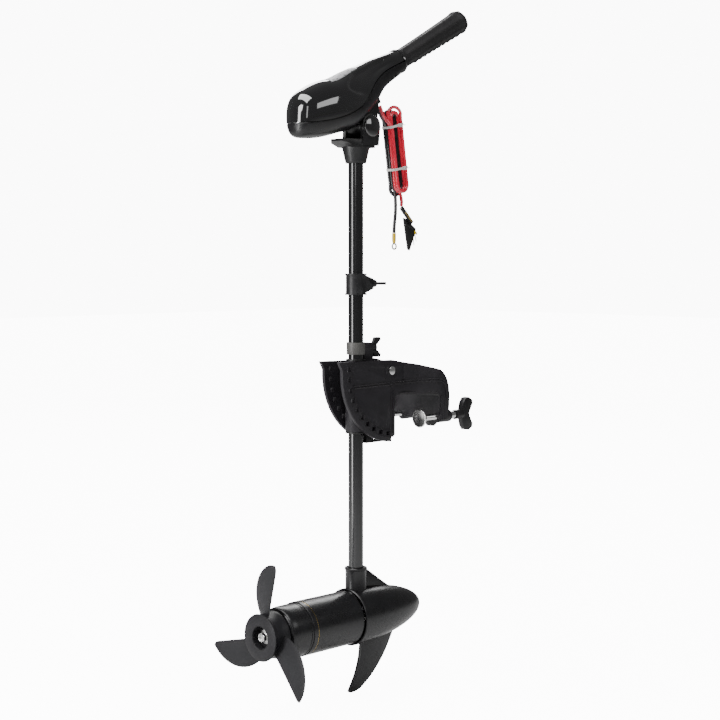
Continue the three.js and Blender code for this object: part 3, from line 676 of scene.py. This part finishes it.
def make_vents():
    """Four slanted ribs across the neck."""
    parts = []
    for k in range(4):
        x = -0.024 + 0.0095 * k
        z = 0.5635 + 0.0062 * k
        rib = [(x, z), (x + 0.0034, z + 0.0018), (x - 0.004, z + 0.0165), (x - 0.0075, z + 0.0145)]
        parts.append(plate(rib, -0.0215 + 0.0004 * k, 0.0215 - 0.0004 * k))
    add_piece("neck_vents", *join(*parts), BLACK_PLASTIC, "head", "black_plastic", 0.0012)


make_vents()


def make_meter():
    """The charge panel follows the top of the dome, a hair above it, and narrows towards the neck."""
    aft, front = -0.150, -0.072
    above = 0.0005
    rings = []
    for station in spline(HEAD_STATIONS, 12):
        if aft < station[0] < front:
            spread = 0.50 - 2.2 * (station[0] - aft)
            angles = [math.pi / 2 + spread * (k / 6 - 1) for k in range(13)]
            rings.append([head_point(station, angle, -above) for angle in angles])
    meter = add_piece("meter_face", *lofted(rings, closed=False, caps=False), LABEL, "head", "label")
    thickness = meter.modifiers.new("thickness", "SOLIDIFY")
    thickness.thickness = 0.001
    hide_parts("meter_panel")


make_meter()


def make_neck_ring():
    """A gloss lip round the neck's end and the pale washer inside it."""
    dark = [(0.0192, -0.003), (0.0212, -0.003), (0.0216, -0.0018), (0.0216, 0.0002), (0.0206, 0.0016),
            (0.0192, 0.0016), (0.0192, -0.003)]
    add_piece("neck_ring", *turned(dark, on_tiller), GLOSS_BLACK, "head", "gloss_shell")
    pale = [(0.012, 0.0004), (0.0188, 0.0004), (0.0188, 0.0023), (0.012, 0.0023), (0.012, 0.0004)]
    add_piece("neck_washer", *turned(pale, on_tiller), PALE_GREY, "head", "pale_collar")


make_neck_ring()


# ---------- Twist grip ----------
def grip_radius(s, a):
    """Barrel with eight shallow facets, finger ridges below and a flared end."""
    body = 0.0172 + 0.0036 * (s / 0.183) ** 1.6
    collar = 0.0022 * math.exp(-((s - 0.004) / 0.006) ** 2)
    under = max(0.0, -math.sin(a)) ** 1.5
    ridge = 0.0017 * under * abs(math.sin(math.pi * (s - 0.03) / 0.0135)) if 0.03 < s < 0.165 else 0.0
    facets = -0.0014 * abs(math.sin(4 * (a + math.pi / 8))) ** 1.5 if s > 0.012 else 0.0
    flare = 0.0012 * math.exp(-((s - 0.176) / 0.006) ** 2)
    return body + collar + ridge + facets + flare


def make_grip():
    """The ridged sleeve and the plug in its end."""
    start, end = 0.0027, 0.1815
    sides = 96
    steps = 150
    turns = [2 * math.pi * j / sides for j in range(sides)]
    rings = []
    for k in range(steps + 1):
        s = start + (end - start) * k / steps
        rings.append([on_tiller(grip_radius(s, a), s, a) for a in turns])
    for r, s in ((0.0196, 0.1828), (0.017, 0.1832), (0.0145, 0.1832), (0.0145, 0.179)):
        rings.append([on_tiller(r, s, a) for a in turns])
    piece = add_piece("grip_sleeve", *lofted(rings), GRIP_RUBBER, "grip", "grip_rubber")
    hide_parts("twist_grip")
    profile = [(0.0001, 0.1795), (0.0138, 0.1795), (0.0138, 0.1838), (0.0125, 0.185), (0.006, 0.1858),
               (0.0001, 0.186)]
    cap = add_piece("grip_plug", *turned(profile, on_tiller, 48), BLACK_PLASTIC, "grip", "black_plastic")
    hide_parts("grip_end_cap")


make_grip()


# ---------- Shaft tube ----------
def make_tube():
    low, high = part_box("shaft_tube")
    bottom, top = low[2], high[2]
    bore = TUBE_RADIUS - 0.002
    profile = [(bore, bottom), (TUBE_RADIUS, bottom), (TUBE_RADIUS, top), (bore, top), (bore, bottom)]
    tube = add_piece("tube", *turned(profile, on_shaft), TUBE_BLACK, "shaft", "composite_tube")
    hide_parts("shaft_tube")


make_tube()


# ---------- Motor pod ----------
def nose_form():
    """The nose is half an ellipsoid from the seam to its tip."""
    length = NOSE_TIP - SEAM_X
    radius = (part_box("nose_housing")[1][1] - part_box("nose_housing")[0][1]) / 2
    profile = [(radius - 0.004, SEAM_X + 0.001), (radius - 0.0012, SEAM_X), (radius, SEAM_X + 0.0012)]
    steps = 40
    for k in range(1, steps):
        a = math.pi / 2 * k / steps
        profile.append((radius * math.cos(a), SEAM_X + 0.0012 + (length - 0.0012) * math.sin(a)))
    profile.append((0.0001, NOSE_TIP))
    return turned(profile, on_motor, 120)


def socket_form():
    """The socket round the tube, with a ring at its mouth and a flared foot."""
    top = SOCKET_TOP
    bore = TUBE_RADIUS + 0.0004
    profile = [(bore, top - 0.012), (bore, top), (0.0186, top), (0.0193, top - 0.0008),
               (0.0193, top - 0.0036), (0.0183, top - 0.0044), (0.018, top - 0.006), (0.018, top - 0.036),
               (0.0192, top - 0.0395), (0.0225, top - 0.044), (0.026, top - 0.052)]
    return turned(profile, on_shaft, 80)


def fins_form():
    """Gusset in front of the socket and the skeg below, as flat plates."""
    half = 0.0035
    gusset = [(SHAFT_X, -0.262), (-0.047, -0.263), (-0.020, -0.282), (0.008, -0.3005), (0.020, -0.312),
              (SHAFT_X, -0.312)]
    skeg = [(-0.064, -0.372), (-0.064, -0.390)]
    aft = [(-0.064, -0.390), (-0.0675, -0.414), (-0.077, -0.441), (-0.0925, -0.4668)]
    front = [(-0.0665, -0.4665), (-0.038, -0.4475), (-0.010, -0.419), (0.008, -0.392), (0.019, -0.372)]
    skeg += spline(aft, 5)[1:]
    skeg += [(-0.0905, -0.4690), (-0.0875, SKEG_BOTTOM), (-0.078, -0.4692)]
    skeg += spline(front, 5)
    return join(plate(gusset, -half, half), plate(skeg, -half, half))


def make_nose():
    nose = add_piece(
        "nose_skin", *join(nose_form(), socket_form()), POD_PAINT, "shaft", "painted_casting")
    add_piece("nose_fins", *fins_form(), POD_PAINT, "shaft", "painted_casting", 0.0022)
    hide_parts("nose_housing")


def make_can():
    """The can with a groove near its aft end, and a thin gold line in the groove."""
    aft = CAN_AFT
    groove = CAN_RADIUS - 0.0008
    profile = [(0.043, SEAM_X - 0.0005), (0.043, SEAM_X - 0.0028), (CAN_RADIUS - 0.0006, SEAM_X - 0.0028),
               (CAN_RADIUS, SEAM_X - 0.0036), (CAN_RADIUS, aft + 0.011), (groove, aft + 0.0104),
               (groove, aft + 0.009), (CAN_RADIUS, aft + 0.0084), (CAN_RADIUS, aft + 0.0008),
               (groove, aft), (0.042, aft)]
    can = add_piece("can_skin", *turned(profile, on_motor, 120), POD_PAINT, "shaft", "painted_steel")
    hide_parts("motor_can")
    line_low, line_high = CAN_RADIUS - 0.0009, CAN_RADIUS - 0.0004
    line = [(line_low, aft + 0.0092), (line_high, aft + 0.0094), (line_high, aft + 0.0099),
            (line_low, aft + 0.0101)]
    add_piece("can_pinstripe", *turned(line, on_motor, 120), BRASS, "shaft", "painted_steel")


def make_bell():
    """The end bell, rounded at its aft edge and grooved beside the can."""
    aft = BELL_AFT
    profile = [(0.0085, aft + 0.001), (0.0085, aft), (0.0365, aft), (0.0395, aft + 0.0007),
               (0.0415, aft + 0.0025), (0.0427, aft + 0.006), (0.0434, aft + 0.014),
               (0.0436, CAN_AFT - 0.006), (0.0428, CAN_AFT - 0.0054), (0.0428, CAN_AFT - 0.0042),
               (0.0436, CAN_AFT - 0.0036), (0.0436, CAN_AFT - 0.0002), (0.042, CAN_AFT)]
    bell = add_piece("bell_skin", *turned(profile, on_motor, 120), POD_PAINT, "shaft", "painted_casting")
    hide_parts("end_bell")


make_nose()
make_can()
make_bell()


# ---------- Propeller ----------
BLADE_TIP = 0.1244              # radius of the blades' tips
HUB_SKIN = 0.031                # radius where the blades enter the hub
FIRST_BLADE = 106.8             # degrees from port to the first blade's trailing edge
PITCH = 0.012                   # metres forward for each radian of a blade's width


def blade(edge_degrees):
    """A straight radial trailing edge, a curved leading edge, a rounded tip and a slight screw pitch."""
    rows, columns = 26, 14
    top, under = [], []
    for i in range(rows + 1):
        f = i / rows
        radius = HUB_SKIN + (BLADE_TIP - HUB_SKIN) * (1 - (1 - f) ** 1.4)
        spread = math.radians(3 + 55 * (1 - f) ** 0.95)
        tip = max(0.0, (f - 0.8) / 0.2) ** 2
        curl = 2.0 * tip
        spread -= math.radians(2.2) * tip
        thick = 0.0054 - 0.0034 * f
        for row, sign in ((top, 1), (under, -1)):
            loop = []
            for j in range(columns + 1):
                along = j / columns
                angle = math.radians(edge_degrees - curl) - along * spread
                lift = sign * thick / 2 * max(0.0, math.sin(math.pi * along)) ** 0.5
                x = HUB_AFT + 0.011 - 0.006 * f + along * spread * PITCH + lift
                loop.append(Vector((x, radius * math.cos(angle), MOTOR_Z + radius * math.sin(angle))))
            row.append(loop)
    return lofted([a + b[::-1] for a, b in zip(top, under)])


def make_propeller():
    """A waisted hub with a recess for the nut, and three blades."""
    aft = HUB_AFT
    hub = [(0.0001, aft + 0.014), (0.0182, aft + 0.014), (0.0184, aft + 0.0008), (0.0192, aft),
           (0.0372, aft), (0.0383, aft + 0.0005), (0.0386, aft + 0.0016), (0.0383, aft + 0.003),
           (0.0372, aft + 0.0046), (0.0365, aft + 0.008), (0.0362, aft + 0.0165), (0.0366, aft + 0.022),
           (0.0378, aft + 0.027), (0.0386, aft + 0.0295), (0.0384, aft + 0.0325), (0.037, aft + 0.033),
           (0.0125, aft + 0.033)]
    parts = [turned(hub, on_motor, 120)] + [blade(FIRST_BLADE + 120 * k) for k in range(3)]
    piece = add_piece("propeller_form", *join(*parts), BLADE_PLASTIC, "rotor", "black_plastic")
    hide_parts("propeller")


def make_hub_fittings():
    """The washer under the nut, seen in the hub's recess."""
    aft = HUB_AFT
    washer = [(0.0062, aft + 0.0125), (0.0118, aft + 0.0125), (0.0124, aft + 0.0132),
              (0.0124, aft + 0.0139), (0.0062, aft + 0.0139)]
    add_piece("hub_washer", *turned(washer, on_motor, 64), STEEL, "rotor", "steel")


make_propeller()
make_hub_fittings()


# ---------- Bracket trim ----------
def arc_point(degrees, radius):
    a = math.radians(degrees)
    return PIVOT.x + radius * math.cos(a), PIVOT.z + radius * math.sin(a)


def rim_wedge(side):
    """The quadrant's rim stands a little proud and slopes away to its edge."""
    start, end = 177, 267
    steps = 48
    section = ((0.1135, -0.0006), (0.1142, 0.0011), (0.1205, 0.0004), (0.1217, -0.0008), (0.1217, -0.0022))
    rings = []
    for k in range(steps + 1):
        degrees = start + (end - start) * k / steps
        loop = []
        for radius, out in section:
            x, z = arc_point(degrees, radius)
            loop.append(Vector((x, side * (RIM_OUTER + out), z)))
        rings.append(loop)
    return lofted(rings)


def strip(points, side, half, proud):
    """A raised rounded line on the bracket's side through (x, y, z) stops."""
    path = [Vector(p) for p in spline(points, 6)]
    out = Vector((0, side, 0))
    turns = [math.pi * j / 6 for j in range(7)]
    rings = []
    for k, place in enumerate(path):
        way = (path[min(k + 1, len(path) - 1)] - path[max(k - 1, 0)]).normalized()
        across = way.cross(out).normalized()
        rings.append([place + across * (half * math.cos(a)) + out * (proud * math.sin(a)) for a in turns])
    return lofted(rings)


# How far the clamp moulding's side stands out (y) along its length (x).
FLANK_PLAN = [(-0.02, PANEL_OUTER), (0.022, PANEL_OUTER), (0.045, 0.032), (0.070, 0.052), (0.080, 0.055),
              (0.12, 0.055)]
SUNK = 0.0002                   # trim starts this far inside the surface it stands on


def on_flank(x, z, side):
    """The point on the clamp moulding's side at x and z."""
    for (x0, y0), (x1, y1) in zip(FLANK_PLAN, FLANK_PLAN[1:]):
        if x0 <= x <= x1:
            return x, side * (y0 + (y1 - y0) * (x - x0) / (x1 - x0) - SUNK), z
    raise ValueError("outside the moulding")


def fairing(side):
    """Fills the step between the cheek and the wider clamp moulding with a flat slope."""
    bottom = 0.058
    corners = [(0.022, PANEL_OUTER, 0.0921), (0.0453, PANEL_OUTER, 0.088), (0.0453, 0.032, 0.088)]
    low = [Vector((x, side * (y - SUNK / 2), bottom)) for x, y, z in corners]
    high = [Vector((x, side * (y - SUNK / 2), z)) for x, y, z in corners]
    return lofted([low, high])


WINDOWS = 10                    # lock windows in each rim
FIRST_WINDOW = 176.1            # degrees round the tilt pin
WINDOW_STEP = 9.65
WINDOW_RADIUS = 0.108


def ledge(number, side):
    """A small ledge stands on the forward side of each lock window."""
    x, z = arc_point(FIRST_WINDOW + WINDOW_STEP * number, WINDOW_RADIUS)
    y0, y1 = sorted((side * (RIM_OUTER - SUNK), side * (RIM_OUTER + 0.0015)))
    aft = x + 0.0034
    front = aft + 0.0018
    half = 0.004
    return plate([(aft, z - half), (front, z - half), (front, z + half), (aft, z + half)], y0, y1)


def make_bracket_trim():
    """Rims, raised lines, ledges and fairings on both sides of the bracket."""
    line_gap = 0.0042
    parts = []
    for side in (-1, 1):
        parts.append(rim_wedge(side))
        y = side * (PANEL_OUTER - SUNK)
        rib = ((-0.100, 0.0533), (-0.06, 0.054), (-0.02, 0.0548), (0.018, 0.0556))
        for lift in (0.0, line_gap):
            parts.append(strip([(x, y, z + lift) for x, z in rib], side, 0.0012, 0.0015))
        upright = [(x, y, z) for x, z in ((-0.0225, 0.091), (-0.0228, 0.080), (-0.0235, 0.066))]
        parts.append(strip(upright, side, 0.0009, 0.0012))
        for x in (-0.0085, -0.0045):
            block = [(x, y, z) for z in (0.046, 0.010, -0.029)]
            parts.append(strip(block, side, 0.0009, 0.0012))
        parts.append(fairing(side))
        parts += [ledge(k, side) for k in range(WINDOWS)]
        jaw = [on_flank(0.0838, z, side) for z in (0.031, 0.01, -0.0095)]
        parts.append(strip(jaw, side, 0.0027, 0.0032))
        flank = [(0.018, 0.0556), (0.045, 0.0568), (0.070, 0.058), (0.084, 0.0565), (0.093, 0.047),
                 (0.0965, 0.028)]
        for lift in (0.0, line_gap):
            parts.append(strip([on_flank(x, z + lift, side) for x, z in flank], side, 0.0011, 0.0014))
        lip = [(0.010, 0.0385), (0.045, 0.0388), (0.068, 0.0388), (0.0755, 0.037), (0.0785, 0.030),
               (0.0788, 0.005)]
        parts.append(strip([on_flank(x, z, side) for x, z in lip], side, 0.0014, 0.0012))
    return join(*parts)


add_piece("bracket_trim", *make_bracket_trim(), BRACKET_GREY, "bracket", "bracket_moulding")

# ---------- Carried-over solids ----------
for name, material, bevel in (
        ("bracket_cheek_port", BRACKET_GREY, 0.0005), ("bracket_cheek_starboard", BRACKET_GREY, 0.0005),
        ("clamp_saddle", BRACKET_GREY, 0.0016), ("tilt_arm", BRACKET_GREY, 0.0008),
        ("tilt_pin", CHROME, 0.0006),
        ("clamp_port_pad", PAD_STEEL, 0.0004), ("clamp_starboard_pad", PAD_STEEL, 0.0004),
        ("clamp_port_screw", CHROME, 0.0006), ("clamp_starboard_screw", CHROME, 0.0006),
        ("clamp_port_handle", BLACK_PLASTIC, 0.0016), ("clamp_starboard_handle", BLACK_PLASTIC, 0.0016),
        ("lock_lever", BLACK_PLASTIC, 0.0006), ("lock_pin_port", STEEL, 0.0003),
        ("lock_pin_starboard", STEEL, 0.0003),
        ("tension_collar", PALE_GREY, 0.0006), ("tension_wing_screw", BLACK_PLASTIC, 0.001),
        ("swivel_bush_upper", BUSH_BLACK, 0.0004), ("swivel_bush_lower", BUSH_BLACK, 0.0004),
        ("inner_twin_lead", BLACK_VINYL, 0.0), ("depth_collar", BLACK_PLASTIC, 0.0006),
        ("depth_wing_screw", BLACK_PLASTIC, 0.001), ("through_bolt_1", STEEL, 0.0),
        ("through_bolt_2", STEEL, 0.0), ("magnet_upper", FERRITE, 0.0006), ("magnet_lower", FERRITE, 0.0006),
        ("bearing_front", STEEL, 0.0005), ("bearing_rear", STEEL, 0.0005), ("motor_shaft", STEEL, 0.0005),
        ("armature", COPPER, 0.0006),
        ("commutator", COPPER, 0.0003), ("brush_holder", BLACK_PLASTIC, 0.0005), ("drive_pin", STEEL, 0.0),
        ("prop_nut", CHROME, 0.0005), ("head_yoke", BLACK_PLASTIC, 0.0012), ("head_pivot_bolt", STEEL, 0.0),
        ("pivot_cap_port", GLOSS_BLACK, 0.0008), ("pivot_cap_starboard", GLOSS_BLACK, 0.0008),
        ("cable_gland", BUSH_BLACK, 0.0006), ("speed_switch", BLACK_PLASTIC, 0.0008),
        ("tiller_tube", TUBE_BLACK, 0.0)):
    dress(name, material, bevel)


# ---------- Floor and light ----------
GLOW = 13                       # how bright the pale sweep looks behind the object
FLOOR_LIT = 1.7                 # what the softboxes add to it on the floor


def seen_only(tree):
    """1 for what the camera sees directly, so that the bright sweep doesn't flood the object with light."""
    return tree.nodes.new("ShaderNodeLightPath").outputs["Is Camera Ray"]


def make_floor():
    """A wide pale plane just under the skeg."""
    material, tree, shader = principled("pale_floor")
    colour = tint(tree, noise(tree, 3), (0.84, 0.84, 0.84), (0.88, 0.88, 0.88))
    tree.links.new(colour, shader.inputs["Base Color"])
    shader.inputs["Roughness"].default_value = 0.6
    glow = tree.nodes.new("ShaderNodeEmission")
    strength = tree.nodes.new("ShaderNodeMath")
    strength.operation = "MULTIPLY"
    strength.inputs[1].default_value = GLOW - FLOOR_LIT
    both = tree.nodes.new("ShaderNodeAddShader")
    tree.links.new(seen_only(tree), strength.inputs[0])
    tree.links.new(strength.outputs["Value"], glow.inputs["Strength"])
    tree.links.new(shader.outputs["BSDF"], both.inputs[0])
    tree.links.new(glow.outputs["Emission"], both.inputs[1])
    tree.links.new(both.outputs["Shader"], tree.nodes["Material Output"].inputs["Surface"])
    z = SKEG_BOTTOM - 0.001
    reach = 14
    mesh = bpy.data.meshes.new("floor")
    corners = [(-reach, -reach, z), (reach, -reach, z), (reach, reach, z), (-reach, reach, z)]
    mesh.from_pydata(corners, [], [(0, 1, 2, 3)])
    mesh.materials.append(material)
    floor = bpy.data.objects.new("floor", mesh)
    bpy.context.collection.objects.link(floor)


def softbox(name, at, target, width, height, radiance):
    """A rectangular light at one place that faces another and can't be seen itself."""
    data = bpy.data.lights.new(name, "AREA")
    data.shape = "RECTANGLE"
    data.size = width
    data.size_y = height
    data.energy = radiance * math.pi * width * height
    light = bpy.data.objects.new(name, data)
    light.location = at
    light.visible_camera = False
    light.rotation_euler = (Vector(target) - Vector(at)).to_track_quat("-Z", "Y").to_euler()
    bpy.context.collection.objects.link(light)


def make_world():
    """Dim even light on the object, and a bright surround for what the camera sees directly."""
    world = bpy.data.worlds.new("studio")
    world.use_nodes = True
    tree = world.node_tree
    ambient = tree.nodes["Background"]
    ambient.inputs["Color"].default_value = (1, 1, 1, 1)
    ambient.inputs["Strength"].default_value = 0.16
    sweep = tree.nodes.new("ShaderNodeBackground")
    sweep.inputs["Strength"].default_value = GLOW
    pick = tree.nodes.new("ShaderNodeMixShader")
    tree.links.new(seen_only(tree), pick.inputs["Fac"])
    tree.links.new(ambient.outputs["Background"], pick.inputs[1])
    tree.links.new(sweep.outputs["Background"], pick.inputs[2])
    tree.links.new(pick.outputs["Shader"], tree.nodes["World Output"].inputs["Surface"])
    bpy.context.scene.world = world


make_floor()
make_world()
softbox("strip", (-2.0, 0.4, 0.2), (-0.05, 0, 0.15), 0.6, 2.4, 12)
softbox("overhead", (-1.1, 0.1, 2.1), (-0.1, 0, 0.4), 2.4, 1.2, 9)
softbox("front", (0.5, -2.2, 1.3), (-0.05, 0, 0.4), 1.6, 0.7, 3.6)
softbox("back", (2.3, 2.6, 2.3), (-0.1, 0, 0.3), 3.2, 1.1, 8.5)
softbox("side", (-1.9, -1.5, 1.0), (-0.15, 0, 0.5), 0.5, 1.0, 3.5)
